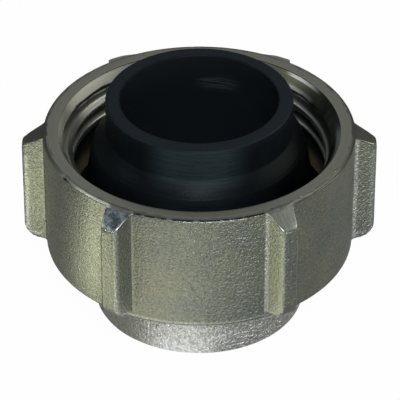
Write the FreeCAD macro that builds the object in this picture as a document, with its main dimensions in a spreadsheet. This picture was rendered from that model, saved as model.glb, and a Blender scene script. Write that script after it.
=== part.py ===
import FreeCAD, Part
import Sketcher
import math
import os

# Eurocone compression fitting for a 15 mm pipe: a ribbed union nut with a G 3/4 thread, and
# the rubber sealing cone and the split clamping ring that the nut carries and turns round.
# The model stands on the nut's neck, with Z along the common axis and zero at the neck's face.

doc = FreeCAD.newDocument("compression_fitting")

# Driving sizes, in millimetres and degrees. Every radius is built outwards from the pipe, and every
# height upwards from the neck face or downwards from the rim.
SIZES = (
    ("pipe_radius", 7.5, "outside of the 15 mm pipe"),
    ("nut_height", 19.6, "neck face to rim"),
    ("neck_clearance", 0.3, "radial room for the pipe in the neck"),
    ("neck_wall", 2.6, "wall of the neck round its bore"),
    ("neck_length", 7.15, "neck face to the lower edge of the body"),
    ("neck_edge_bevel", 0.25, "bevel at the foot of the neck"),
    ("neck_root_bevel", 0.8, "slope between the neck and the body"),
    ("pipe_entry", 0.6, "bevel where the pipe goes in"),
    ("body_draft", 0.05, "how much narrower the body is at its lower edge"),
    ("rib_count", 6, "grip ribs round the body"),
    ("rib_height", 2.1, "crest of a rib above the body"),
    ("rib_tip_width", 1.65, "width of the crest before its edges are rounded"),
    ("rib_flank_angle", 14, "lean of each flank"),
    ("rib_edge_round", 0.4, "round along both edges of the crest"),
    ("rib_root_bevel", 0.4, "slope along the foot of both flanks"),
    ("rib_foot_rise", 0.3, "foot of a rib above the lower edge of the body"),
    ("rib_end_round", 1.5, "round at the lower outer corner"),
    ("rib_top_break", 0.25, "how far in the upper outer corner is broken"),
    ("rib_top_angle", 60, "slope of that broken corner, from level"),
    ("rim_inset", 0.3, "edge of the turned rim face inside the body"),
    ("rim_width", 1.15, "turned rim face"),
    ("rim_step", 0.4, "inside of the rim face outside the thread relief"),
    ("rim_bevel_angle", 30, "turned bevel outside the rim, from level"),
    ("lead_in_angle", 35, "bevel into the thread, from the axis"),
    ("thread_depth", 0.922, "blunt crests to roots of the G 3/4 thread"),
    ("thread_length", 2.0, "full crests below the lead-in"),
    ("runout_length", 0.7, "slope from the crests to the relief"),
    ("relief_clearance", 0.13, "relief outside the roots of the thread"),
    ("floor_thickness", 2.35, "floor of the relief above the lower edge of the body"),
    ("seat_flare", 2.1, "how much the clamping seat widens up to the floor"),
    ("seat_angle", 20, "clamping seat, from the axis"),
    ("seat_gap", 0.05, "radial play of the ring in its seat"),
    ("ring_clearance", 0.075, "radial room for the pipe in the ring"),
    ("ring_depth", 4.8, "ring below the floor"),
    ("ring_stand", 0.8, "ring above the floor"),
    ("ring_edge_bevel", 0.25, "bevels at both ends of the ring"),
    ("ring_slit_width", 1.2, "gap that lets the ring close on the pipe"),
    ("seal_clearance", 0.15, "radial room for the pipe in the seal"),
    ("flange_thickness", 1.3, "flange of the seal"),
    ("flange_width", 1.035, "flange outside the foot of the cone"),
    ("flange_catch", 0.3, "how far the thread's crests reach over the flange"),
    ("flange_edge_bevel", 0.3, "bevels on both edges of the flange"),
    ("cone_length", 6.6, "seal cone, flange to shoulder"),
    ("cone_angle", 10, "seal cone, from the axis"),
    ("shoulder_width", 1.3, "shoulder outside the nose"),
    ("shoulder_rise", 1.65, "slope of the shoulder up to the nose"),
    ("shoulder_round", 0.6, "round between cone and shoulder"),
    ("nose_wall", 1.45, "wall of the nose that enters the bore of the mating cone"),
    ("nose_length", 3.35, "nose above the shoulder"),
    ("nose_edge_bevel", 0.35, "bevel round the end of the nose"),
    ("nose_bore_bevel", 0.15, "bevel at the mouth of the bore"),
    ("cutter_overrun", 1.0, "how far each cut runs past the metal"),
)

sheet = doc.addObject("Spreadsheet::Sheet", "Sizes")
for row, (alias, number, meaning) in enumerate(SIZES, start=1):
    sheet.set(f"A{row}", str(number))
    sheet.setAlias(f"A{row}", alias)
    sheet.set(f"B{row}", meaning)
doc.recompute()


class Size:
    """A size as the expression that binds it to the sheet, together with its number."""

    def __init__(self, text, number):
        self.text = text
        self.number = number

    def joined(self, sign, other, number):
        other_text = other.text if isinstance(other, Size) else str(other)
        return Size(f"({self.text} {sign} {other_text})", number)

    def __add__(self, other):
        return self.joined("+", other, self.number + value(other))

    def __sub__(self, other):
        return self.joined("-", other, self.number - value(other))

    def __mul__(self, other):
        return self.joined("*", other, self.number * value(other))

    def __truediv__(self, other):
        return self.joined("/", other, self.number / value(other))

    def __neg__(self):
        return Size(f"(-{self.text})", -self.number)


def value(size):
    return size.number if isinstance(size, Size) else float(size)


def driving(alias):
    return Size(f"{sheet.Name}.{alias}", float(getattr(sheet, alias)))


def tangent(angle):
    return Size(f"tan({angle.text})", math.tan(math.radians(angle.number)))


ON_AXIS = Size("0", 0.0)
NEAR = 1e-4


def new_body(name):
    body = doc.addObject("PartDesign::Body", name)
    body.Label = name
    body.Placement = FreeCAD.Placement()
    return body


def new_sketch(body, name, role):
    plane = next(part for part in body.Origin.OriginFeatures if part.Role == role)
    sketch = body.newObject("Sketcher::SketchObject", name)
    sketch.AttachmentSupport = [(plane, "")]
    sketch.MapMode = "FlatFace"
    return sketch


def hold(sketch, kind, edge, size):
    """Keep the start of an edge at a distance from the origin, or on the axis itself."""
    start = (edge, 1)
    origin = (-1, 1)
    axis_line = {"DistanceX": -2, "DistanceY": -1}
    if size is ON_AXIS:
        sketch.addConstraint(Sketcher.Constraint("PointOnObject", *start, axis_line[kind]))
        return
    ends = (*origin, *start) if size.number > 0 else (*start, *origin)
    sign = "" if size.number > 0 else "-"
    index = sketch.addConstraint(Sketcher.Constraint(kind, *ends, abs(size.number)))
    sketch.setExpression(f"Constraints[{index}]", sign + size.text)


def draw_outline(sketch, corners, arc_edge=None, arc_centre=None, arc_radius=None):
    """Closed outline through the corners; one edge may be an anticlockwise arc."""
    points = [FreeCAD.Vector(across.number, up.number, 0) for across, up in corners]
    for edge, start in enumerate(points):
        end = points[(edge + 1) % len(points)]
        line = Part.LineSegment(start, end)
        if edge == arc_edge:
            centre = FreeCAD.Vector(arc_centre[0].number, arc_centre[1].number, 0)
            circle = Part.Circle(centre, FreeCAD.Vector(0, 0, 1), arc_radius.number)
            line = Part.ArcOfCircle(circle, circle.parameter(start), circle.parameter(end))
        sketch.addGeometry(line, False)
    for edge, (across, up) in enumerate(corners):
        before = (edge - 1) % len(points)
        sketch.addConstraint(Sketcher.Constraint("Coincident", before, 2, edge, 1))
        hold(sketch, "DistanceX", edge, across)
        hold(sketch, "DistanceY", edge, up)
    if arc_edge is not None:
        index = sketch.addConstraint(Sketcher.Constraint("Radius", arc_edge, arc_radius.number))
        sketch.setExpression(f"Constraints[{index}]", arc_radius.text)
    doc.recompute()


def turn(body, kind, name, sketch):
    """Turn an outline once round the Z axis, to add metal or to cut it."""
    feature = body.newObject(kind, name)
    feature.Profile = sketch
    feature.ReferenceAxis = (sketch, ["V_Axis"])
    feature.Angle = 360
    doc.recompute()
    return feature


def check_cut(feature, before):
    if feature.Shape.Volume >= before.Shape.Volume:
        raise RuntimeError(f"{feature.Name} cuts nothing")


def ring_edges(feature, radius, height):
    """Names of the circular edges of that radius round the axis at that height."""
    names = []
    for number, edge in enumerate(feature.Shape.Edges, start=1):
        if not isinstance(edge.Curve, Part.Circle):
            continue
        same_radius = math.isclose(edge.Curve.Radius, radius.number, abs_tol=NEAR)
        same_height = math.isclose(edge.Curve.Center.z, height.number, abs_tol=NEAR)
        if same_radius and same_height:
            names.append(f"Edge{number}")
    if not names:
        raise RuntimeError(f"{feature.Name} has no such edge")
    return names


def dress(body, kind, name, base, edges, size):
    """Round or bevel the named edges of the last feature."""
    feature = body.newObject(kind, name)
    feature.Base = (base, edges)
    feature.setExpression("Radius" if kind.endswith("Fillet") else "Size", size.text)
    doc.recompute()
    return feature


overrun = driving("cutter_overrun")
pipe_radius = driving("pipe_radius")

# Heights that the three pieces share, from the neck face up
body_low_height = driving("neck_length")
floor_height = body_low_height + driving("floor_thickness")
ring_top_height = floor_height + driving("ring_stand")
flange_top_height = ring_top_height + driving("flange_thickness")
cone_length = driving("cone_length")
shoulder_height = flange_top_height + cone_length
nose_foot_height = shoulder_height + driving("shoulder_rise")
seal_top_height = nose_foot_height + driving("nose_length")

# Radii from the pipe outwards: the seal, then the thread that holds its flange, then the nut
seal_bore_radius = pipe_radius + driving("seal_clearance")
nose_radius = seal_bore_radius + driving("nose_wall")
shoulder_radius = nose_radius + driving("shoulder_width")
cone_foot_radius = shoulder_radius + cone_length * tangent(driving("cone_angle"))
flange_radius = cone_foot_radius + driving("flange_width")
thread_minor_radius = flange_radius - driving("flange_catch")
thread_major_radius = thread_minor_radius + driving("thread_depth")
relief_radius = thread_major_radius + driving("relief_clearance")
rim_inner_radius = relief_radius + driving("rim_step")
rim_outer_radius = rim_inner_radius + driving("rim_width")
body_radius = rim_outer_radius + driving("rim_inset")
neck_bore_radius = pipe_radius + driving("neck_clearance")
neck_radius = neck_bore_radius + driving("neck_wall")
seat_top_radius = neck_bore_radius + driving("seat_flare")
seat_slope = tangent(driving("seat_angle"))

# Union nut: a brass forging with six ribs, turned at the rim and inside, then nickel plated
nut_height = driving("nut_height")

nut = new_body("union_nut")
blank_outline = new_sketch(nut, "forged_blank_outline", "XZ_Plane")
draw_outline(blank_outline, (
    (ON_AXIS, ON_AXIS),
    (neck_radius, ON_AXIS),
    (neck_radius, body_low_height),
    (body_radius - driving("body_draft"), body_low_height),
    (body_radius, nut_height),
    (ON_AXIS, nut_height),
))
blank = turn(nut, "PartDesign::Revolution", "forged_blank", blank_outline)
neck_foot = ring_edges(blank, neck_radius, ON_AXIS)
neck_edge = dress(nut, "PartDesign::Chamfer", "neck_edge", blank, neck_foot,
                  driving("neck_edge_bevel"))
neck_top = ring_edges(neck_edge, neck_radius, body_low_height)
neck_root = dress(nut, "PartDesign::Chamfer", "neck_root", neck_edge, neck_top,
                  driving("neck_root_bevel"))

# Each rib narrows from the body to its crest
rib_tip_radius = body_radius + driving("rib_height")
rib_half_tip = driving("rib_tip_width") / 2
rib_lean = tangent(driving("rib_flank_angle"))
rib_half_root = rib_half_tip + (rib_tip_radius - neck_radius) * rib_lean
rib_foot_height = body_low_height + driving("rib_foot_rise")
rib_outline = new_sketch(nut, "rib_outline", "XY_Plane")
rib_outline.setExpression("AttachmentOffset.Base.z", rib_foot_height.text)
draw_outline(rib_outline, (
    (neck_radius, -rib_half_root),
    (rib_tip_radius, -rib_half_tip),
    (rib_tip_radius, rib_half_tip),
    (neck_radius, rib_half_root),
))
rib = nut.newObject("PartDesign::Pad", "rib")
rib.Profile = rib_outline
rib.setExpression("Length", (nut_height - rib_foot_height).text)
doc.recompute()
ribs = nut.newObject("PartDesign::PolarPattern", "ribs")
ribs.Originals = [rib]
ribs.Axis = (rib_outline, ["N_Axis"])
ribs.Angle = 360
ribs.setExpression("Occurrences", driving("rib_count").text)
nut.Tip = ribs
doc.recompute()


def upright_edges(feature, inner_radius, outer_radius):
    """Names of the edges as tall as a rib that lie between two radii."""
    names = []
    for number, edge in enumerate(feature.Shape.Edges, start=1):
        middle = edge.CenterOfMass
        from_axis = math.hypot(middle.x, middle.y)
        tall = edge.BoundBox.ZLength > (nut_height - rib_foot_height).number - NEAR
        if tall and inner_radius.number < from_axis < outer_radius.number:
            names.append(f"Edge{number}")
    return names


rib_middle_radius = (body_radius + rib_tip_radius) / 2
crest_edges = upright_edges(ribs, rib_middle_radius, rib_tip_radius + overrun)
rib_crests = dress(nut, "PartDesign::Fillet", "rib_crest_edges", ribs, crest_edges,
                   driving("rib_edge_round"))
root_edges = upright_edges(rib_crests, neck_radius, rib_middle_radius)
rib_roots = dress(nut, "PartDesign::Chamfer", "rib_root_edges", rib_crests, root_edges,
                  driving("rib_root_bevel"))

# The lower outer corner of every rib is rounded, seen from the side
rib_end_round = driving("rib_end_round")
round_foot = rib_tip_radius - rib_end_round
round_top = rib_foot_height + rib_end_round
rib_end_outline = new_sketch(nut, "rib_end_outline", "XZ_Plane")
draw_outline(rib_end_outline, (
    (round_foot, rib_foot_height),
    (rib_tip_radius, round_top),
    (rib_tip_radius + overrun, round_top),
    (rib_tip_radius + overrun, rib_foot_height - overrun),
    (round_foot, rib_foot_height - overrun),
), arc_edge=0, arc_centre=(round_foot, round_top), arc_radius=rib_end_round)
rib_ends = turn(nut, "PartDesign::Groove", "rib_ends", rib_end_outline)
check_cut(rib_ends, rib_roots)

# One turned bevel outside the rim also gives the ribs their sloping upper ends, and a steeper
# one breaks their outer corners
top_break = driving("rib_top_break")
break_radius = rib_tip_radius - top_break
break_height = nut_height - (break_radius - rim_outer_radius) * tangent(driving("rim_bevel_angle"))
break_drop = (top_break + overrun) * tangent(driving("rib_top_angle"))
rim_bevel_outline = new_sketch(nut, "rim_bevel_outline", "XZ_Plane")
draw_outline(rim_bevel_outline, (
    (rim_outer_radius, nut_height),
    (break_radius, break_height),
    (rib_tip_radius + overrun, break_height - break_drop),
    (rib_tip_radius + overrun, nut_height + overrun),
    (rim_outer_radius, nut_height + overrun),
))
rim_bevel = turn(nut, "PartDesign::Groove", "rim_bevel", rim_bevel_outline)
check_cut(rim_bevel, rib_ends)

# Inside: neck bore, clamping seat, thread relief, thread at its crests, and the lead-in
seat_foot_height = floor_height - driving("seat_flare") / seat_slope
pipe_entry = driving("pipe_entry")
lead_in_slope = tangent(driving("lead_in_angle"))
lead_in_height = nut_height - (rim_inner_radius - thread_minor_radius) / lead_in_slope
thread_foot_height = lead_in_height - driving("thread_length")
relief_top_height = thread_foot_height - driving("runout_length")
below_face = -overrun
bore_outline = new_sketch(nut, "bore_outline", "XZ_Plane")
draw_outline(bore_outline, (
    (ON_AXIS, below_face),
    (neck_bore_radius + pipe_entry + overrun, below_face),
    (neck_bore_radius, pipe_entry),
    (neck_bore_radius, seat_foot_height),
    (seat_top_radius, floor_height),
    (relief_radius, floor_height),
    (relief_radius, relief_top_height),
    (thread_minor_radius, thread_foot_height),
    (thread_minor_radius, lead_in_height),
    (rim_inner_radius + overrun * lead_in_slope, nut_height + overrun),
    (ON_AXIS, nut_height + overrun),
))
bored = turn(nut, "PartDesign::Groove", "inside", bore_outline)
check_cut(bored, rim_bevel)

# Clamping ring: a turned brass cone that sits in the nut's seat and is slit so that it can close
ring_bore_radius = pipe_radius + driving("ring_clearance")
ring_top_radius = seat_top_radius - driving("seat_gap")
ring_foot_height = floor_height - driving("ring_depth")
ring_foot_radius = ring_top_radius - driving("ring_depth") * seat_slope
ring_edge_bevel = driving("ring_edge_bevel")

ring = new_body("clamping_ring")
ring_outline = new_sketch(ring, "ring_outline", "XZ_Plane")
draw_outline(ring_outline, (
    (ring_bore_radius, ring_foot_height),
    (ring_foot_radius, ring_foot_height),
    (ring_top_radius, floor_height),
    (ring_top_radius, ring_top_height),
    (ring_bore_radius, ring_top_height),
))
ring_turned = turn(ring, "PartDesign::Revolution", "turned_ring", ring_outline)
ring_rims = ring_edges(ring_turned, ring_bore_radius, ring_foot_height)
ring_rims += ring_edges(ring_turned, ring_bore_radius, ring_top_height)
ring_rims += ring_edges(ring_turned, ring_top_radius, ring_top_height)
ring_bevels = dress(ring, "PartDesign::Chamfer", "ring_bevels", ring_turned, ring_rims,
                    ring_edge_bevel)
half_slit = driving("ring_slit_width") / 2
slit_start = ring_bore_radius - overrun
slit_outline = new_sketch(ring, "slit_outline", "XY_Plane")
draw_outline(slit_outline, (
    (-half_slit, slit_start),
    (half_slit, slit_start),
    (half_slit, ring_top_radius + overrun),
    (-half_slit, ring_top_radius + overrun),
))
slit = ring.newObject("PartDesign::Pocket", "slit")
slit.Profile = slit_outline
slit.Type = "ThroughAll"
slit.SideType = "Symmetric"
doc.recompute()
check_cut(slit, ring_bevels)

# Sealing cone: one rubber moulding, with a nose, a sloping shoulder, a cone and a flange
seal = new_body("sealing_cone")
seal_outline = new_sketch(seal, "seal_outline", "XZ_Plane")
draw_outline(seal_outline, (
    (seal_bore_radius, ring_top_height),
    (flange_radius, ring_top_height),
    (flange_radius, flange_top_height),
    (cone_foot_radius, flange_top_height),
    (shoulder_radius, shoulder_height),
    (nose_radius, nose_foot_height),
    (nose_radius, seal_top_height),
    (seal_bore_radius, seal_top_height),
))
moulding = turn(seal, "PartDesign::Revolution", "moulding", seal_outline)
shoulder_edge = dress(seal, "PartDesign::Fillet", "shoulder_edge", moulding,
                      ring_edges(moulding, shoulder_radius, shoulder_height),
                      driving("shoulder_round"))
flange_rims = ring_edges(shoulder_edge, flange_radius, ring_top_height)
flange_rims += ring_edges(shoulder_edge, flange_radius, flange_top_height)
flange_edges = dress(seal, "PartDesign::Chamfer", "flange_edges", shoulder_edge, flange_rims,
                     driving("flange_edge_bevel"))
nose_edge = dress(seal, "PartDesign::Chamfer", "nose_edge", flange_edges,
                  ring_edges(flange_edges, nose_radius, seal_top_height),
                  driving("nose_edge_bevel"))
nose_mouth = dress(seal, "PartDesign::Chamfer", "nose_mouth", nose_edge,
                   ring_edges(nose_edge, seal_bore_radius, seal_top_height),
                   driving("nose_bore_bevel"))
seal_entry = dress(seal, "PartDesign::Chamfer", "seal_entry", nose_mouth,
                   ring_edges(nose_mouth, seal_bore_radius, ring_top_height),
                   ring_edge_bevel)

# Every object has to be sound before any file is written
doc.recompute()
for item in doc.Objects:
    if "Invalid" in item.State or "Error" in item.State:
        raise RuntimeError(f"{item.Name} failed")
os.makedirs("parts", exist_ok=True)
for piece in (nut, ring, seal):
    if piece.Shape.isNull() or not piece.Shape.isValid() or len(piece.Shape.Solids) != 1:
        raise RuntimeError(f"{piece.Label} isn't one sound solid")
for piece in (nut, ring, seal):
    piece.Shape.exportStep(os.path.join("parts", f"{piece.Label}.step"))
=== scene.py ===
import math

import bmesh
import bpy
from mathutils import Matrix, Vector


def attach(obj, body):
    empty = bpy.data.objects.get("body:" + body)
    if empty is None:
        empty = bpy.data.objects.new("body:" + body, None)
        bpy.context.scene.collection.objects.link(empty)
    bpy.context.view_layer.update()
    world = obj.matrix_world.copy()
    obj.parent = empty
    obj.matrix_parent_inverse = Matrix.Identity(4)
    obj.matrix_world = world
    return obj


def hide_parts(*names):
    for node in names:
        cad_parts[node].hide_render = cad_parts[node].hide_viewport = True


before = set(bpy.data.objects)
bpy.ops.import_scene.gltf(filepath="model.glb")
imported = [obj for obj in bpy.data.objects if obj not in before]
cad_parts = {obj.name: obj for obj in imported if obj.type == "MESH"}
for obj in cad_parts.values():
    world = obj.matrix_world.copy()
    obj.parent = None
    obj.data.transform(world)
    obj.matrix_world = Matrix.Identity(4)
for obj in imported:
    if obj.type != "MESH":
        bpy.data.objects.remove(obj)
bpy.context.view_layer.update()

# Union nut. A brass blank forged hot with six grip ribs, turned at the rim, bored and threaded
# G 3/4 inside, then nickel plated all over: the forged skin stays grainy, and the turned faces
# keep their tool marks.
nut_height = 19.6
body_foot = 7.15
body_radius = 15.2
crest_radius = 17.3
rim_radius = 14.9
mouth_radius = 13.8
relief_radius = 13.35
thread_crest = 12.3
thread_foot = 15.2
rib_foot = 7.45
rib_end_round = 1.5
rib_tip = 18.0
nut_sizes = {
    "Rim height": nut_height,
    "Body foot": body_foot,
    "Body radius": body_radius,
    "Draft": 0.05,
    "Ribs": 6.0,
    "Crest radius": crest_radius,
    "Crest width": 1.6,
    "Flank slope": math.tan(math.radians(14)),
    "Crest edge round": 0.85,
    "Tip edge round": 0.9,
    "Tip foot": rib_tip - 1.4,
    "Tip top": rib_tip,
    "Rib root round": 0.5,
    "Rib foot": rib_foot,
    "Rib end round": rib_end_round,
    "Rib end slope": 5.0,
    "Front foot lift": 0.45,
    "Rib top break": 0.1,
    "Corner slope": 0.577,
    "Corner round": 0.15,
    "Rim radius": rim_radius,
    "Bevel slope": math.tan(math.radians(30)),
    "Thread pitch": 1.814,
    "Thread crest": thread_crest,
    "Thread root": 13.25,
    "Thread start": 0.27,
    "Tooth gain": 2.12,
    "Tooth flat": 0.647,
    "Thread root round": 0.15,
    "Thread crest round": 0.25,
    "Lead-in slope": math.tan(math.radians(35)),
    "Mouth radius": mouth_radius,
    "Relief radius": relief_radius,
    "Run-out height": thread_foot,
    "Run-out slope": 1.5,
    "Crowding": 0.8,
    "Forging swell": 0.05,
    "Chip depth": 0.1,
    "Nick depth": 0.2,
}
nick_place = (-12.83, -8.15, 19.43)


class Wire:
    """One output socket of a node tree, so that a formula is written as plain arithmetic."""

    def __init__(self, tree, socket=None):
        self.tree = tree
        self.socket = socket

    def node(self, kind, settings=(), values=(), output=0):
        """Add a node of that type: its settings first, then a value or a wire for each input."""
        made = self.tree.nodes.new(kind)
        for name, setting in dict(settings).items():
            setattr(made, name, setting)
        for name, given in dict(values).items():
            if isinstance(given, Wire):
                self.tree.links.new(given.socket, made.inputs[name])
            else:
                made.inputs[name].default_value = given
        return Wire(self.tree, made.outputs[output])

    def maths(self, operation, *others):
        values = dict(enumerate((self, *others)))
        return self.node("ShaderNodeMath", {"operation": operation}, values)

    def __add__(self, other):
        return self.maths("ADD", other)

    def __mul__(self, other):
        return self.maths("MULTIPLY", other)

    def __sub__(self, other):
        return self.maths("SUBTRACT", other)

    def __truediv__(self, other):
        return self.maths("DIVIDE", other)

    def __rsub__(self, other):
        return self.node("ShaderNodeMath", {"operation": "SUBTRACT"}, {0: other, 1: self})

    def __rtruediv__(self, other):
        return self.node("ShaderNodeMath", {"operation": "DIVIDE"}, {0: other, 1: self})

    __radd__ = __add__
    __rmul__ = __mul__

    def rising(self, low, high):
        """Nought below low, one above high, and a smooth rise between."""
        settings = {"interpolation_type": "SMOOTHSTEP"}
        return self.node("ShaderNodeMapRange", settings, {0: self, 1: low, 2: high})


def joined(graph, x, y, z):
    return graph.node("ShaderNodeCombineXYZ", (), {"X": x, "Y": y, "Z": z})


def apart(graph, place):
    """The three numbers of a place."""
    return [graph.node("ShaderNodeSeparateXYZ", (), {0: place}, axis) for axis in "XYZ"]


def round_axis(graph, radius, angle, height):
    """The place at that radius, angle and height."""
    return joined(graph, radius * angle.maths("COSINE"), radius * angle.maths("SINE"), height)


def grain(place, scale, detail=2.0, roughness=0.5):
    """Noise about its middle value, from a place and a scale."""
    values = {"Vector": place, "Scale": scale, "Detail": detail, "Roughness": roughness}
    return place.node("ShaderNodeTexNoise", (), values) - 0.5


def away_from(place, spot):
    return place.node("ShaderNodeVectorMath", {"operation": "DISTANCE"}, {0: place, 1: spot}, 1)


def spaced(start, end, count):
    """Count rows from start up to, and not including, end."""
    return [tuple(a + (b - a) * n / count for a, b in zip(start, end)) for n in range(count)]


def quarter(steps):
    """The sine and cosine at even steps of a quarter turn."""
    bends = [math.radians(90 * step / steps) for step in range(steps + 1)]
    return [(math.sin(bend), math.cos(bend)) for bend in bends]


def eased(corners, steps=4, longest=1.5):
    """A closed section through (radius, height, easing) corners, with those corners rounded."""
    places = [Vector(corner[:2]) for corner in corners]
    section = []
    for number, here in enumerate(places):
        ease = corners[number][2]
        start = here + (places[number - 1] - here).normalized() * ease
        end = here + (places[(number + 1) % len(places)] - here).normalized() * ease
        for step in range(steps + 1 if ease else 1):
            share = step / steps
            section.append(start.lerp(here, share).lerp(here.lerp(end, share), share))
    closed = []
    for here, after in zip(section, section[1:] + section[:1]):
        closed += spaced(here, after, max(1, math.ceil((after - here).length / longest)))
    return closed + closed[:1]


def turned_piece(name, rows, marks, columns, sizes, form, finish):
    """Turn a section once round the axis, with the form's own radius and height at each angle."""
    section = bpy.data.meshes.new(name + "_section")
    section.from_pydata([(row[0], 0.0, row[1]) for row in rows], [], [])
    for place, mark in enumerate(marks, start=2):
        layer = section.attributes.new(mark, "FLOAT", "POINT")
        layer.data.foreach_set("value", [row[place] for row in rows])
    piece = bpy.data.objects.new(name, section)
    bpy.context.scene.collection.objects.link(piece)

    tree = bpy.data.node_groups.new(name + "_turning", "GeometryNodeTree")
    tree.interface.new_socket("Section", in_out="INPUT", socket_type="NodeSocketGeometry")
    tree.interface.new_socket("Columns", in_out="INPUT", socket_type="NodeSocketInt")
    for size in sizes:
        tree.interface.new_socket(size, in_out="INPUT", socket_type="NodeSocketFloat")
    tree.interface.new_socket("Finish", in_out="INPUT", socket_type="NodeSocketMaterial")
    tree.interface.new_socket("Piece", in_out="OUTPUT", socket_type="NodeSocketGeometry")
    graph = Wire(tree)
    inputs = tree.nodes.new("NodeGroupInput").outputs
    given = {socket.name: Wire(tree, socket) for socket in inputs}
    profile = given["Section"]
    count = graph.node("GeometryNodeAttributeDomainSize", (), {"Geometry": profile})
    grid = graph.node("GeometryNodeMeshGrid", (), {
        "Size X": given["Columns"] + 0.0, "Size Y": count - 1.0,
        "Vertices X": given["Columns"] + 1.0, "Vertices Y": count,
    })
    place = graph.node("GeometryNodeInputPosition")
    column, number, _ = apart(graph, place)
    number = (number + (count - 1.0) / 2.0).maths("ROUND")
    column = (column + given["Columns"] / 2.0).maths("ROUND")
    turn = column / given["Columns"] * math.tau

    def at_row(value, kind):
        settings = {"data_type": kind, "domain": "POINT"}
        values = {"Geometry": profile, "Value": value, "Index": number}
        return graph.node("GeometryNodeSampleIndex", settings, values)

    row = {}
    row["radius"], _, row["height"] = apart(graph, at_row(place, "FLOAT_VECTOR"))
    for mark in marks:
        settings = {"data_type": "FLOAT"}
        stored = graph.node("GeometryNodeInputNamedAttribute", settings, {"Name": mark})
        row[mark] = at_row(stored, "FLOAT")
    angle, radius, height = form(graph, turn, row, given)
    spot = round_axis(graph, radius / 1000.0, angle, height / 1000.0)
    if "turned" in row:
        values = {"Geometry": grid, "Name": "turned", "Value": row["turned"]}
        grid = graph.node("GeometryNodeStoreNamedAttribute", {"data_type": "FLOAT"}, values)
    shaped = graph.node("GeometryNodeSetPosition", (), {"Geometry": grid, "Position": spot})
    closed = graph.node("GeometryNodeMergeByDistance", (), {"Geometry": shaped, "Distance": 1e-6})
    single = graph.node("GeometryNodeRealizeInstances", (), {"Geometry": closed})
    values = {"Geometry": single, "Material": given["Finish"]}
    finished = graph.node("GeometryNodeSetMaterial", (), values)
    tree.links.new(finished.socket, tree.nodes.new("NodeGroupOutput").inputs["Piece"])

    turning = piece.modifiers.new("turning", "NODES")
    turning.node_group = tree
    chosen = {**sizes, "Columns": columns, "Finish": finish}
    for item in tree.interface.items_tree:
        if item.in_out == "INPUT" and item.name in chosen:
            turning[item.identifier] = chosen[item.name]
    shown = bpy.context.evaluated_depsgraph_get()
    mesh = bpy.data.meshes.new_from_object(piece.evaluated_get(shown), depsgraph=shown)
    piece.modifiers.clear()
    piece.data = mesh
    shell = bmesh.new()
    shell.from_mesh(mesh)
    bmesh.ops.recalc_face_normals(shell, faces=shell.faces)
    for face in shell.faces:
        face.smooth = True
    shell.to_mesh(mesh)
    shell.free()
    mesh.set_sharp_from_angle(angle=math.radians(38))
    return piece


def ribbed_skin(size, from_rib, height):
    """Radius of the forged skin at an angle from the nearest rib: the body and its drafted rib."""
    across, along = from_rib.maths("SINE"), from_rib.maths("COSINE")
    slope = size["Flank slope"]
    flank = (size["Crest width"] / 2.0 + size["Crest radius"] * slope) / (across + along * slope)
    tip = height.rising(size["Tip foot"], size["Tip top"])
    edge_round = size["Crest edge round"] + tip * size["Tip edge round"]
    rib = (size["Crest radius"] / along).maths("SMOOTH_MIN", flank, edge_round)
    share = (size["Rim height"] - height) / (size["Rim height"] - size["Body foot"])
    body = size["Body radius"] - size["Draft"] * share
    return body.maths("SMOOTH_MAX", rib, size["Rib root round"])


def rib_end(size, angle, height):
    """Radius of the round at the ribs' lower ends, which sit higher on the two front ribs."""
    lift = (angle.maths("SINE") * -1.2).rising(0.0, 1.0) * size["Front foot lift"]
    foot, end_round = size["Rib foot"] + lift, size["Rib end round"]
    drop = (foot + end_round - height).maths("MAXIMUM", 0.0)
    rest = (end_round * end_round - drop * drop).maths("MAXIMUM", 0.0)
    end = size["Crest radius"] - end_round + rest.maths("SQRT")
    end = end - (foot - height).maths("MAXIMUM", 0.0) * size["Rib end slope"]
    return end.maths("MAXIMUM", size["Body radius"] - size["Draft"])


def threaded_wall(size, angle, height):
    """Radius of the thread, with rounded crests and roots, its lead-in, run-out and relief."""
    steps = height / size["Thread pitch"] - angle / math.tau - size["Thread start"]
    tooth = steps.maths("PINGPONG", 0.5) * 2.0
    depth = size["Thread root"] - size["Thread crest"]
    cut = size["Thread crest"] + depth * (tooth * size["Tooth gain"] - size["Tooth flat"])
    cut = cut.maths("SMOOTH_MIN", size["Thread root"], size["Thread root round"])
    cut = cut.maths("SMOOTH_MAX", size["Thread crest"], size["Thread crest round"])
    mouth = size["Mouth radius"] - (size["Rim height"] - height) * size["Lead-in slope"]
    run_out = size["Thread crest"] + (size["Run-out height"] - height) * size["Run-out slope"]
    cut = cut.maths("MAXIMUM", mouth).maths("MAXIMUM", run_out)
    return cut.maths("MINIMUM", mouth.maths("MAXIMUM", size["Relief radius"]))


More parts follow.
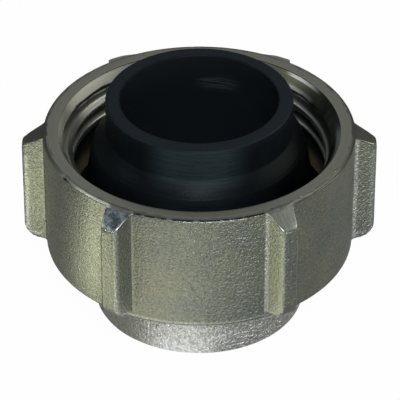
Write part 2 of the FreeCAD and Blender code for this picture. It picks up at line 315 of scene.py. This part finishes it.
def nut_form(graph, turn, row, size):
    """The nut's angle, radius and height at one place of its section and one step of the turn."""
    angle = turn - size["Crowding"] * (turn * size["Ribs"]).maths("SINE") / size["Ribs"]
    from_rib = angle.maths("PINGPONG", math.pi / size["Ribs"])

    # The turned bevel meets the skin at a height that differs between the body and the ribs
    rim = size["Rim height"]
    broken = size["Crest radius"] - size["Rib top break"]
    crease = ribbed_skin(size, from_rib, rim).maths("MINIMUM", broken)
    crease = rim - (crease - size["Rim radius"]) * size["Bevel slope"]
    height = row["height"] + row["climb"] * (crease - row["height"])
    corner = rim - (broken - size["Rim radius"]) * size["Bevel slope"]
    rib_top = broken + (corner - height) * size["Corner slope"]
    wall = ribbed_skin(size, from_rib, height).maths("MINIMUM", rib_end(size, angle, height))
    wall = wall.maths("SMOOTH_MIN", rib_top, size["Corner round"])
    height = height + row["bevel"] * (rim - height)
    wall = wall + row["bevel"] * (size["Rim radius"] - wall)
    radius = row["radius"] + row["reach"] * (wall - row["radius"])
    radius = radius + row["thread"] * (threaded_wall(size, angle, height) - radius)

    # The forging swells and sinks a little, and the turned edges have small chips and one nick
    place = round_axis(graph, radius, angle, height)
    swell = (grain(place, 0.35) - 0.3) * size["Forging swell"] * (1.0 - row["turned"])
    burr = grain(place, 1.9).rising(-0.05, 0.2) * 0.5
    chip = (grain(place, 1.05, 3.0).rising(0.1, 0.2) + burr) * size["Chip depth"]
    nick = (1.0 - away_from(place, nick_place).rising(0.1, 0.45)) * size["Nick depth"]
    loss = row["soft"] + (chip + nick) * row["wear"]
    return angle, radius + swell - loss * 0.8, height - loss * 0.5


nut_marks = ("reach", "climb", "bevel", "thread", "soft", "wear", "turned")


def nut_row(radius, height, **given):
    """A row of the nut's section: its radius and height, then its marks, nought unless given."""
    return (radius, height, *(given.get(mark, 0) for mark in nut_marks))


# The section runs from the neck's face up the outside, over the rim and down the inside
entry_radius, neck_radius, neck_edge, neck_round = 8.4, 10.4, 0.25, 0.8
root_foot, foot_radius, floor_height, relief_top = 6.35, 15.0, 9.5, 14.5
root_radius = neck_radius + neck_round
flat_radius = neck_radius - neck_edge
nut_rows = [nut_row(entry_radius, 0.0, turned=1)]
nut_rows += spaced(nut_row(entry_radius + 0.05, 0.0, turned=1),
                   nut_row(flat_radius, 0.0, turned=1), 4)
for sine, cosine in quarter(4):
    nut_rows.append(nut_row(flat_radius + neck_edge * sine, neck_edge - neck_edge * cosine))
nut_rows += spaced(nut_row(neck_radius, 0.5), nut_row(neck_radius, root_foot), 7)
for sine, cosine in quarter(4):
    nut_rows.append(nut_row(root_radius - neck_round * cosine, root_foot + neck_round * sine))
nut_rows += spaced(nut_row(root_radius + 0.2, body_foot), nut_row(foot_radius, body_foot), 7)
for rise, reach in ((0, 0), (0.01, 0.6), (0.04, 0.9), (0.09, 1), (0.17, 1), (0.21, 1), (0.25, 1)):
    nut_rows.append(nut_row(foot_radius, body_foot + rise, reach=reach))
end_top = rib_foot + rib_end_round
for _, cosine in quarter(14):
    nut_rows.append(nut_row(foot_radius, end_top - rib_end_round * cosine, reach=1))


def skin_row(**given):
    """A row of the forged skin or of the turned bevel, whose height the form works out."""
    return nut_row(foot_radius, end_top, reach=1, **given)


nut_rows += spaced(skin_row(climb=0.03), skin_row(climb=0.93), 20)
nut_rows += spaced(skin_row(climb=0.93), skin_row(climb=0.99), 7)
nut_rows += [
    skin_row(climb=0.99),
    skin_row(climb=0.996, soft=0.01, wear=0.6),
    skin_row(climb=1, bevel=0.01, soft=0.04, wear=1, turned=1),
    skin_row(climb=1, bevel=0.05, soft=0.01, wear=0.8, turned=1),
]
nut_rows += spaced(skin_row(climb=1, bevel=0.1, wear=0.2, turned=1),
                   skin_row(climb=1, bevel=0.97, wear=0.2, turned=1), 7)
nut_rows += [
    skin_row(climb=1, bevel=0.97, wear=0.8, turned=1),
    skin_row(climb=1, bevel=1, soft=0.02, wear=1, turned=1),
]
nut_rows += spaced(nut_row(rim_radius - 0.08, nut_height, turned=1),
                   nut_row(mouth_radius + 0.02, nut_height, turned=1), 5)
nut_rows += [
    nut_row(mouth_radius + 0.02, nut_height, turned=1),
    nut_row(mouth_radius - 0.035, nut_height - 0.01, turned=1),
    nut_row(mouth_radius - 0.08, nut_height - 0.06, thread=1, turned=1),
]
nut_rows += spaced(nut_row(mouth_radius - 0.1, nut_height - 0.12, thread=1, turned=1),
                   nut_row(relief_radius, relief_top, thread=1, turned=1), 78)
turned_inside = eased((
    (relief_radius, relief_top, 0), (relief_radius, floor_height, 0.35), (9.9, floor_height, 0.08),
    (7.8, 3.73, 0.1), (7.8, 0.6, 0.05), (entry_radius, 0.0, 0.04),
), longest=1.2)
last = next(number for number, spot in enumerate(turned_inside) if spot[1] < 0.045)
nut_rows += [nut_row(*spot, turned=1) for spot in turned_inside[:last]]
nut_rows.append(nut_rows[0])


def millimetres(graph):
    """The surface's place in millimetres, its three numbers, and its distance from the axis."""
    own = graph.node("ShaderNodeTexCoord", (), (), "Object")
    place = graph.node("ShaderNodeVectorMath", {"operation": "SCALE"}, {0: own, "Scale": 1000.0})
    across, side, up = apart(graph, place)
    return place, across, side, up, (across * across + side * side).maths("SQRT")


def tinted(factor, low, high):
    """A colour between two, by a factor."""
    low, high = ((*tone, 1) if isinstance(tone, tuple) else tone for tone in (low, high))
    settings = {"data_type": "RGBA", "clamp_factor": True}
    return factor.node("ShaderNodeMix", settings, {0: factor, 6: low, 7: high}, 2)


def between(factor, low, high):
    return low + factor * (high - low)


def band(value, middle, half):
    """One at the middle value, and nought beyond half that far to either side."""
    return 1.0 - (value - middle).maths("ABSOLUTE").rising(half * 0.4, half)


def stripe(value, start, full, fading, end):
    """One from full to fading, and nought before start and after end."""
    return value.rising(start, full) * (1.0 - value.rising(fading, end))


def shader_of(material):
    return next(node for node in material.node_tree.nodes if node.type == "BSDF_PRINCIPLED")


def surface(material, **finish):
    """The material's own shader, with each named socket set or linked."""
    for name, given in finish.items():
        socket = shader_of(material).inputs[name.replace("_", " ")]
        if isinstance(given, Wire):
            material.node_tree.links.new(given.socket, socket)
        else:
            socket.default_value = given


def new_finish(name):
    material = bpy.data.materials.new(name)
    material.use_nodes = True
    return material, Wire(material.node_tree)


tones = {
    "grey skin": (0.315, 0.335, 0.315), "yellowish skin": (0.40, 0.405, 0.315),
    "left skin in warm painted shade": (0.265, 0.285, 0.205), "raised grain": (0.56, 0.56, 0.50),
    "sunk grain": (0.12, 0.125, 0.11), "neck pit": (0.50, 0.50, 0.46),
    "left neck in painted shade": (0.74, 0.76, 0.62), "neck": (0.88, 0.88, 0.85),
    "rubbed_and_highlit": (0.88, 0.88, 0.82), "yellow rib": (0.66, 0.69, 0.50),
    "painted_shade": (0.02, 0.02, 0.02), "right edge in painted shade": (0.10, 0.10, 0.08),
    "dark cut": (0.35, 0.35, 0.32), "bright cut": (0.47, 0.47, 0.43),
    "dent": (0.13, 0.15, 0.18), "blue-lit bevel with dents": (0.58, 0.62, 0.65),
    "bevel": (0.47, 0.47, 0.43), "bevel end in painted shade": (0.20, 0.20, 0.15),
    "front_bevel_shade": (0.03, 0.035, 0.035), "left edge highlight": (1.0, 0.98, 0.86),
    "browned_in_shade": (0.15, 0.14, 0.10), "lead-in": (0.62, 0.62, 0.57),
    "back lead-in in shade": (0.40, 0.40, 0.37), "lit left lead-in": (0.95, 0.95, 0.87),
    "dark shade streak": (0.015, 0.018, 0.018), "pale shade streak": (0.075, 0.085, 0.075),
    "olive": (0.24, 0.25, 0.17), "glint": (0.96, 0.97, 0.94),
    "crest highlight": (0.88, 0.88, 0.85), "groove shade": (0.06, 0.06, 0.055),
    "brown reflection deep inside": (0.22, 0.17, 0.09), "shade deep inside": (0.02, 0.02, 0.018),
    "nick": (0.10, 0.11, 0.09),
}
nickel, graph = new_finish("nickel_plated_forging")
place, across, side, up, from_axis = millimetres(graph)
leftward, frontward = 0.0 - across, 0.0 - side
bearing = side.maths("ARCTAN2", across)
turned = graph.node("ShaderNodeAttribute", {"attribute_name": "turned"}, (), "Fac")
turned = turned.rising(0.3, 0.7)
forged = 1.0 - turned
cloud = grain(place, 0.3, 3.0)
pits = grain(place, 4.0, 2.0, 0.65)
sparkle = grain(place, 5.0, 1.0)
tool_marks = grain(joined(graph, from_axis * 9.0, up * 9.0, 0.3), 1.0, 3.0)

# The forged skin is mottled, tinted darker and olive on the left as painted shade and warm light,
# and paler and coarser on the neck, its paleness partly a painted highlight
left_side = leftward.rising(6.0, 10.0)
neck = forged * (1.0 - up.rising(body_foot - 1.25, body_foot - 0.55))
skin = tinted(cloud * 2.2 + 0.5, tones["grey skin"], tones["yellowish skin"])
# Painted shade and warm light on the left side of the skin
skin = tinted(left_side * 0.7, skin, tones["left skin in warm painted shade"])
skin = tinted(sparkle.rising(0.0, 0.2) * 0.45, skin, tones["raised grain"])
skin = tinted((0.0 - sparkle).rising(0.05, 0.25) * 0.4, skin, tones["sunk grain"])
# The neck's paleness is partly a painted highlight, and its left is painted darker as shade
neck_tone_with_left_shade = tinted(across.rising(-7.0, -3.0), tones["left neck in painted shade"], tones["neck"])
speckled = grain(place, 2.6, 3.0, 0.65).rising(-0.2, 0.2)
skin = tinted(neck, skin, tinted(speckled, tones["neck pit"], neck_tone_with_left_shade))

# The ribs' roots and crests and the body's lower edge carry painted highlights, and the ribs'
# feet and the skin's upper edge rubbed chips with painted highlights among them, all in flecks
rib_turn = math.tau / nut_sizes["Ribs"]
from_rib = (bearing + math.tau).maths("PINGPONG", rib_turn / 2.0) * from_axis
beyond_rim = from_axis - rim_radius
outside = beyond_rim.rising(0.0, 0.1)
on_rib = from_axis.rising(body_radius + 0.3, body_radius + 0.6)
on_body = 1.0 - on_rib
right_tip = across.rising(4.0, 7.0) * up.rising(rib_tip - 0.6, rib_tip)
left_front = stripe(leftward, 8.2, 8.6, 11.0, 12.4) * frontward.rising(4.0, 7.0)
middle = 1.0 - across.maths("ABSOLUTE").rising(5.0, 10.0)
below_bevel = nut_height - beyond_rim * nut_sizes["Bevel slope"] - up
edge = 1.0 - below_bevel.rising(0.04, 0.2)
specks = grain(place, 2.0).rising(0.04, 0.14) * (1.0 - across.rising(3.0, 5.0))
# Rubbed chips along the skin's upper edge, with a painted highlight on its left front
rim_edge_chips_and_highlight = edge * (specks + left_front)
# Painted highlight along the roots of the ribs
root = between(across.rising(0.0, 4.0), 0.05, 1.1) * band(from_rib, 1.4, 0.2) * on_body
root = root * up.rising(body_foot + 0.15, body_foot + 0.65)
# Painted highlight along the crests of the ribs
crest = band(from_rib, 0.85, 0.3) * from_axis.rising(crest_radius - 0.7, crest_radius - 0.3)
crest = crest * (1.0 - right_tip)
# Painted highlight above the body's lower edge, and chips with a painted highlight at the ribs'
# feet
body_edge_highlight = band(up, body_foot + 0.3, 0.18) * outside * middle
rib_foot_chips_and_highlight = band(up, rib_foot + 0.57, 0.25) * on_rib
flecks = between(sparkle.rising(-0.1, 0.1), 0.5, 1.0)
rubbed_and_highlit = root * 0.9 + crest * 0.5 + (body_edge_highlight + rib_foot_chips_and_highlight) * 0.5 + rim_edge_chips_and_highlight * 0.8
rubbed_and_highlit = rubbed_and_highlit.maths("MINIMUM", 1.0) * forged * flecks
skin = tinted(rubbed_and_highlit, skin, tones["rubbed_and_highlit"])

# The two front ribs are tinted yellow, mostly as painted warm light on and beside the left one and
# on the right one's flank, and painted shade lies along the left one and under the body's edge
from_left_rib = (bearing + rib_turn * 2.0) * from_axis
from_right_rib = (bearing + rib_turn) * from_axis
tip = band(from_left_rib, 0.0, 1.2) * from_axis.rising(crest_radius - 0.5, crest_radius - 0.3)
# Painted warm light on the body beside the left front rib
warm_lit_patch = band(from_left_rib, -2.3, 2.2) * on_body
flank = band(from_right_rib, -1.12, 0.5) * from_axis.rising(body_radius + 0.3, body_radius + 0.5)
yellow_and_warm_lit = (tip * 0.25 + flank * 0.9 + warm_lit_patch * 0.2) * forged * flecks
skin = tinted(yellow_and_warm_lit, skin, tones["yellow rib"])
# Painted shade in a line along the left front rib, and under the body's lower edge
painted_shade = band(from_left_rib, -0.8, 0.26) * from_axis.rising(crest_radius - 0.8, crest_radius - 0.5)
under = (1.0 - up.rising(body_foot + 0.03, body_foot + 0.15)) * outside * middle
skin = tinted((painted_shade * forged + under * 0.8) * 0.95, skin, tones["painted_shade"])
# Painted shade on the skin's upper edge on the right
skin = tinted(edge * across.rising(5.0, 8.0) * 0.8, skin, tones["right edge in painted shade"])

# The turned bevel is dented with a painted blue reflection on the left front rib, painted dark as
# shade at the rib ends and in front, painted with a highlight along its left front edge, and
# browned and painted darker as shade on the right
bright = tinted(tool_marks * 1.6 + 0.5, tones["dark cut"], tones["bright cut"])
dents = (pits + grain(place, 1.3) * 1.5).rising(-0.25, 0.25)
# The left front rib's bevel has dents and a painted blue reflection
blue_lit_dents = tinted(dents, tones["dent"], tones["blue-lit bevel with dents"])
bevel = tinted(band(from_left_rib, 0.0, 6.0), tones["bevel"], blue_lit_dents)
# Painted shade at the lower ends of the bevel on the ribs
rib_ends = from_axis.rising(crest_radius - 0.35, crest_radius - 0.2)
bevel = tinted(rib_ends * 0.6, bevel, tones["bevel end in painted shade"])
bright = tinted(beyond_rim.rising(0.35, 0.5) * 0.9, bright, bevel)
between_ribs = from_rib.rising(1.4, 1.8)
# Painted shade along the bevel in front, between the ribs
front_bevel_shade = stripe(beyond_rim, 0.08, 0.16, 0.32, 0.4) * between_ribs
front_bevel_shade = front_bevel_shade * frontward.rising(8.0, 11.0) * (1.0 - across.rising(6.0, 8.0))
front_bevel_shade = front_bevel_shade * (1.0 - leftward.rising(8.0, 8.5)) * grain(place, 1.6).rising(-0.2, 0.0)
bright = tinted(front_bevel_shade * 0.9, bright, tones["front_bevel_shade"])
# Painted highlight along the bevel's lower edge on the left front
left_edge_highlight = stripe(beyond_rim, 0.09, 0.14, 0.4, 0.5) * left_front
bright = tinted(left_edge_highlight, bright, tones["left edge highlight"])
# Brown along the bevel's lower edge on the right, painted darker as shade
browned_in_shade = stripe(beyond_rim, 0.12, 0.18, 0.35, 0.45) * between_ribs
bright = tinted(browned_in_shade * across.rising(6.0, 8.0) * 0.75, bright, tones["browned_in_shade"])

# Inside the rim the lead-in is painted paler low on the left as light, darker high at the back and
# in streaks on the right as shade, with painted glints beside the dark side
inside = 1.0 - from_axis.rising(mouth_radius - 0.08, mouth_radius)
thread = inside * up.rising(thread_foot - 0.3, thread_foot)
low_left = 1.0 - side.rising(-1.0, 5.0)
# Painted shade high at the back, and painted light low on the left
high_back = up.rising(nut_height - 1.4, nut_height - 0.9) * side.rising(2.0, 7.0)
lead_in = tinted(high_back, tones["lead-in"], tones["back lead-in in shade"])
lead_in = tinted(leftward.rising(10.5, 12.0) * low_left, lead_in, tones["lit left lead-in"])
# Painted shade in streaks on the right of the lead-in
streaks = grain(joined(graph, bearing * 14.0, up * 0.5, 0.0), 1.0, 3.0)
streaked_shade = tinted(streaks.rising(-0.1, 0.2), tones["dark shade streak"], tones["pale shade streak"])
shade_side = across.rising(9.0, 11.5)
bright = tinted(thread * 0.9, bright, tinted(shade_side, lead_in, streaked_shade))
olive = band(across, 9.5, 3.5) * side.rising(4.0, 6.0)
olive = olive * up.rising(nut_height - 1.4, nut_height - 1.0)
bright = tinted(thread * olive, bright, tones["olive"])
# Painted glints beside the dark right side
upper_glint = band(across, 10.3, 1.8) * from_axis.rising(mouth_radius - 0.3, mouth_radius - 0.2)
lower_glint = band(across, 9.9, 1.6) * band(up, nut_height - 1.35, 0.5)
front_glint = frontward.rising(-1.5, 1.5) * across.rising(8.0, 9.0)
front_glint = front_glint * from_axis.rising(mouth_radius - 0.6, mouth_radius - 0.4)
glint = (lower_glint + upper_glint) * side.rising(6.0, 7.0) + front_glint
bright = tinted(thread * glint, bright, tones["glint"])

# The thread's crests are painted bright as highlights and its grooves dark as shade, and deep
# inside it is painted dark as shade above, with a painted brown reflection lower down
# Painted highlight on the thread's crests
crest_highlights = 1.0 - from_axis.rising(thread_crest + 0.12, thread_crest + 0.4)
bright = tinted(thread * crest_highlights * 0.9, bright, tones["crest highlight"])
# Painted shade in the thread's grooves, lighter low on the left
past_lead_in = from_axis - (mouth_radius - (nut_height - up) * nut_sizes["Lead-in slope"])
lighter_grooves = leftward.rising(10.0, 11.0) * up.rising(nut_height - 2.7, nut_height - 2.3) * 0.7
grooves = past_lead_in.rising(0.03, 0.2) * (1.0 - lighter_grooves * low_left)
grooves = grooves * from_axis.rising(thread_crest + 0.3, thread_crest + 0.55)
bright = tinted(thread * grooves * 0.75, bright, tones["groove shade"])
# Deep inside: painted shade above and a painted brown reflection lower down
deep = inside * stripe(up, floor_height - 1.5, floor_height - 0.5, relief_top + 0.1,
                       relief_top + 0.5)
depth = up.rising(floor_height + 1.3, floor_height + 3.3)
bright = tinted(deep, bright, tinted(depth, tones["brown reflection deep inside"], tones["shade deep inside"]))

shade = tinted(turned, skin, bright)
nick = (1.0 - away_from(place, nick_place).rising(0.12, 0.45)) * 0.85
shade = tinted(nick, shade, tones["nick"])
rough_skin = between(cloud + 0.5, 0.34, 0.44) - neck * 0.1
rough_cut = 0.36 + tool_marks * 0.12
coarse = (pits * 1.6 + sparkle * 0.6) * (1.0 + neck * 1.2) * (1.0 - left_side * 0.5)
relief = graph.node("ShaderNodeBump", (), {
    "Strength": 1.0, "Distance": 0.000068,
    "Height": forged * coarse + turned * tool_marks * 0.08,
})
surface(nickel, Base_Color=shade, Metallic=1.0 - deep * turned * 0.6, Normal=relief,
        Roughness=rough_skin * forged + rough_cut * turned)

union_nut = turned_piece("union_nut_finish", nut_rows, nut_marks, 432, nut_sizes, nut_form, nickel)
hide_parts("union_nut")
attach(union_nut, "nut")

# Sealing cone. One moulding of black rubber: the nose, the sloping shoulder and the cone press
# into the mating fitting, and the flange at its foot keeps it in the nut. The mould was turned,
# so faint rings run round it, and the edges are a little worn.
seal_sizes = {"Swell": 0.03, "Wear": 0.05}
seal_bore, seal_flange, seal_nose = 7.65, 12.6, 9.1
seal_foot, flange_top, seal_top = 10.3, 11.6, 23.199
cone_foot_radius, cone_top_radius = 11.564, 10.4
cone_top, nose_foot = 18.2, 19.85


def seal_form(graph, turn, row, size):
    """The seal's angle, radius and height, a little uneven and worn at the end of the nose."""
    place = round_axis(graph, row["radius"], turn, row["height"])
    radius = row["radius"] + grain(place, 0.25) * size["Swell"]
    worn = grain(place, 1.1, 3.0).rising(0.12, 0.22) * size["Wear"] * row["worn"]
    return turn, radius - worn * 0.5, row["height"] - worn


seal_rows = eased((
    (seal_bore, seal_foot, 0.25), (seal_flange, seal_foot, 0.3),
    (seal_flange, flange_top, 0.3), (cone_foot_radius, flange_top, 0.15),
    (cone_top_radius, cone_top, 0.55), (seal_nose, nose_foot, 0.12),
    (seal_nose, seal_top, 0.3), (seal_bore, seal_top, 0.13),
), longest=0.9)
seal_rows = [(radius, height, float(height > seal_top - 0.4)) for radius, height in seal_rows]

rubber_tones = {
    "dark": (0.0030, 0.0042, 0.0054), "plain": (0.0046, 0.0062, 0.0076),
    "paler and lit end face": (0.0112, 0.0154, 0.0190), "bore": (0.0080, 0.0100, 0.0124),
    "front_highlight": (0.0210, 0.0300, 0.0345), "smear_and_sheen": (0.030, 0.036, 0.040),
    "right cone in painted shade": (0.0010, 0.0014, 0.0018),
}
rubber, graph = new_finish("black_moulded_rubber")
place, across, side, up, from_axis = millimetres(graph)
haze = grain(place, 0.4, 3.0)
fine = grain(place, 9.0)
rings = grain(joined(graph, from_axis * 5.0, up * 5.0, 0.7), 1.0)
bearing = side.maths("ARCTAN2", across)
streaks = grain(joined(graph, bearing * 3.0, up * 5.0, from_axis), 1.0, 3.0)
in_bore = 1.0 - from_axis.rising(seal_bore + 0.05, seal_bore + 0.15)
end_face = up.rising(seal_top - 0.249, seal_top - 0.049)
end_face = end_face * from_axis.rising(seal_bore + 0.05, seal_bore + 0.2)

# A painted highlight lies in streaks on the front of the nose and shoulder, the cone's right is
# painted dark as shade, and a smear with a painted sheen lies on the back wall of the bore
shade = tinted(haze * 2.0 + 0.5, rubber_tones["dark"], rubber_tones["plain"])
# The end face is paler, partly as painted light on the face that looks up
shade = tinted(end_face, shade, rubber_tones["paler and lit end face"])
shade = tinted(in_bore, shade, rubber_tones["bore"])
# Painted highlight in streaks on the front of the nose and shoulder
front_highlight = band(across, -0.3, 5.5) * (0.0 - side).rising(4.0, 8.0) * (1.0 - end_face)
front_highlight = front_highlight * between(up.rising(cone_top + 0.4, nose_foot + 0.15), 0.25, 1.0)
front_highlight = front_highlight * between(streaks.rising(-0.25, 0.25), 0.5, 1.0)
shade = tinted(front_highlight, shade, rubber_tones["front_highlight"])
# Painted shade on the right of the cone
right_cone_shade = across.rising(5.0, 9.0) * (1.0 - up.rising(cone_top + 0.3, nose_foot + 0.15))
shade = tinted(right_cone_shade, shade, rubber_tones["right cone in painted shade"])
# A smear with a painted sheen on the back wall of the bore
smear_and_sheen = in_bore * band(up, nose_foot + 0.25, 1.1) * band(across, 1.8, 2.6)
shade = tinted(smear_and_sheen * streaks.rising(-0.15, 0.2), shade, rubber_tones["smear_and_sheen"])
relief = graph.node("ShaderNodeBump", (), {
    "Strength": 1.0, "Distance": 0.00003, "Height": fine * 0.5 + rings * 0.8,
})
surface(rubber, Base_Color=shade, Specular_IOR_Level=0.065, Normal=relief,
        Roughness=between(haze + 0.5, 0.34, 0.44))

sealing_cone = turned_piece("sealing_cone_finish", seal_rows, ("worn",), 240, seal_sizes,
                            seal_form, rubber)
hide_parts("sealing_cone")
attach(sealing_cone, "insert")

# Clamping ring. Turned from brass bar with a cone outside and slit once, so that the nut's seat
# closes it on the pipe. It keeps the shape of its solid, and the bright brass has tool marks.
brass, graph = new_finish("turned_brass")
place, _, _, up, from_axis = millimetres(graph)
tarnish = grain(place, 0.5, 4.0)
tool_marks = grain(joined(graph, from_axis * 8.0, up * 8.0, 0.1), 1.0, 3.0)
shade = tinted(tarnish * 2.0 + 0.5, (0.46, 0.30, 0.11), (0.62, 0.43, 0.18))
relief = graph.node("ShaderNodeBump", (), {
    "Strength": 1.0, "Distance": 0.00002, "Height": tool_marks + tarnish * 0.4,
})
surface(brass, Base_Color=shade, Metallic=1.0, Normal=relief,
        Roughness=between(tarnish + 0.5, 0.22, 0.36))
clamping_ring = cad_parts["clamping_ring"]
clamping_ring.data.materials.clear()
clamping_ring.data.materials.append(brass)

# Table and light. The fitting stands on a plain pale table under soft studio light: broad lamps
# on the right, behind and on the left, small ones low and high in front, and one high on the
# left. In the metal's mirror the table glows with painted pools of light in front, mostly left and
# warm there, over a dim surround.
table_size = 4.0
table_mesh = bpy.data.meshes.new("table")
table_mesh.from_pydata([
    (-table_size, -table_size, 0), (table_size, -table_size, 0),
    (table_size, table_size, 0), (-table_size, table_size, 0),
], [], [(0, 1, 2, 3)])
table = bpy.data.objects.new("table", table_mesh)
bpy.context.scene.collection.objects.link(table)
table.location.z = -0.00002
white = (1.0, 1.0, 1.0)


def seen_by(graph):
    """Whether a ray comes straight from the eye or through glass, and whether it is mirrored."""
    kinds = ("Is Camera Ray", "Is Transmission Ray", "Is Glossy Ray")
    seen, through, mirrored = (graph.node("ShaderNodeLightPath", (), (), kind) for kind in kinds)
    return seen + through, mirrored


pale, graph = new_finish("pale_table")
surface(pale, Base_Color=(0.93, 0.93, 0.92, 1), Roughness=0.7)
straight, mirrored = seen_by(graph)
place = millimetres(graph)[0]


def pool(x, y, inner, outer):
    """One within the inner distance of a place on the table, nought beyond the outer one."""
    return 1.0 - away_from(place, (x, y, 0.0)).rising(inner, outer)


# Painted pools of light, which the table shows only in the metal's mirror
broad = pool(-29.0, -19.0, 8.0, 16.0).maths("MAXIMUM", pool(-11.0, -30.0, 8.0, 19.0))
near = pool(-2.5, -13.0, 2.5, 6.5) + pool(-7.5, -10.5, 1.0, 4.0) * 0.25
painted_pools = (broad + pool(-29.0, -13.5, 2.0, 9.5) * 2.2).maths("MAXIMUM", near)
glow = graph.node("ShaderNodeEmission", (), {
    "Color": tinted(mirrored * broad, white, (1.0, 1.0, 0.82)),
    "Strength": straight + mirrored * between(painted_pools, 0.23, 1.0),
})
lit = Wire(pale.node_tree, shader_of(pale).outputs[0])
both = graph.node("ShaderNodeMixShader", (), {0: straight * 0.97 + mirrored, 1: lit, 2: glow})
end = next(node for node in pale.node_tree.nodes if node.type == "OUTPUT_MATERIAL")
pale.node_tree.links.new(both.socket, end.inputs["Surface"])
table_mesh.materials.append(pale)

surround = bpy.data.worlds.new("surround")
surround.use_nodes = True
bpy.context.scene.world = surround
graph = Wire(surround.node_tree)
straight, mirrored = seen_by(graph)
around = tinted(mirrored, (0.24, 0.245, 0.25), (0.04, 0.04, 0.04))
background = next(node for node in surround.node_tree.nodes if node.type == "BACKGROUND")
colour = tinted(straight, around, white)
surround.node_tree.links.new(colour.socket, background.inputs["Color"])
background.inputs["Strength"].default_value = 1.0
surround.cycles.sampling_method = "NONE"

aim = Vector((0.0, 0.0, 0.0111))
lamp_distance = 0.7
# Heading from +X, height angle and width across in degrees, brightness and tint of each lamp
for name, heading, climb, width, level, tint in (
    ("right_low_lamp", 8, 15, 46, 1.5, (1.0, 1.0, 0.88)),
    ("right_high_lamp", 0, 42, 40, 0.8, (0.97, 1.0, 0.92)),
    ("back_lamp", 90, 42, 40, 0.31, (0.97, 1.0, 0.90)),
    ("left_lamp", 180, 42, 40, 0.55, (0.87, 1.0, 1.0)),
    ("front_low_lamp", 292, 6, 18, 10.0, (0.88, 1.0, 0.95)),
    ("left_window", 180, 34, 12, 5.0, (1.0, 1.0, 1.0)),
    ("front_high_lamp", 271, 44, 14, 36.0, (0.82, 0.94, 1.0)),
):
    heading, climb = math.radians(heading), math.radians(climb)
    light = bpy.data.lights.new(name, "AREA")
    light.shape = "DISK"
    light.size = 2.0 * lamp_distance * math.tan(math.radians(width / 2.0))
    light.energy = level * math.pi * math.pi * light.size ** 2 / 4.0
    light.color = tint
    lamp = bpy.data.objects.new(name, light)
    lamp.location = aim + lamp_distance * Vector((
        math.cos(climb) * math.cos(heading),
        math.cos(climb) * math.sin(heading),
        math.sin(climb),
    ))
    lamp.rotation_euler = (aim - lamp.location).to_track_quat("-Z", "Y").to_euler()
    bpy.context.scene.collection.objects.link(lamp)

# Camera. It stands in front, 35 degrees above the table and about 30 centimetres away, with a
# long lens.
eye = Vector((0.0, -0.2470, 0.1866))
lens = bpy.data.cameras.new("camera")
lens.sensor_width = 36.0
lens.lens = 276.2
lens.shift_x = 0.00175
lens.shift_y = 0.00125
lens.clip_start = 0.01
camera = bpy.data.objects.new("camera", lens)
camera.location = eye
camera.rotation_euler = (aim - eye).to_track_quat("-Z", "Y").to_euler()
bpy.context.scene.collection.objects.link(camera)
bpy.context.scene.camera = camera
bpy.context.scene.view_settings.view_transform = "Standard"
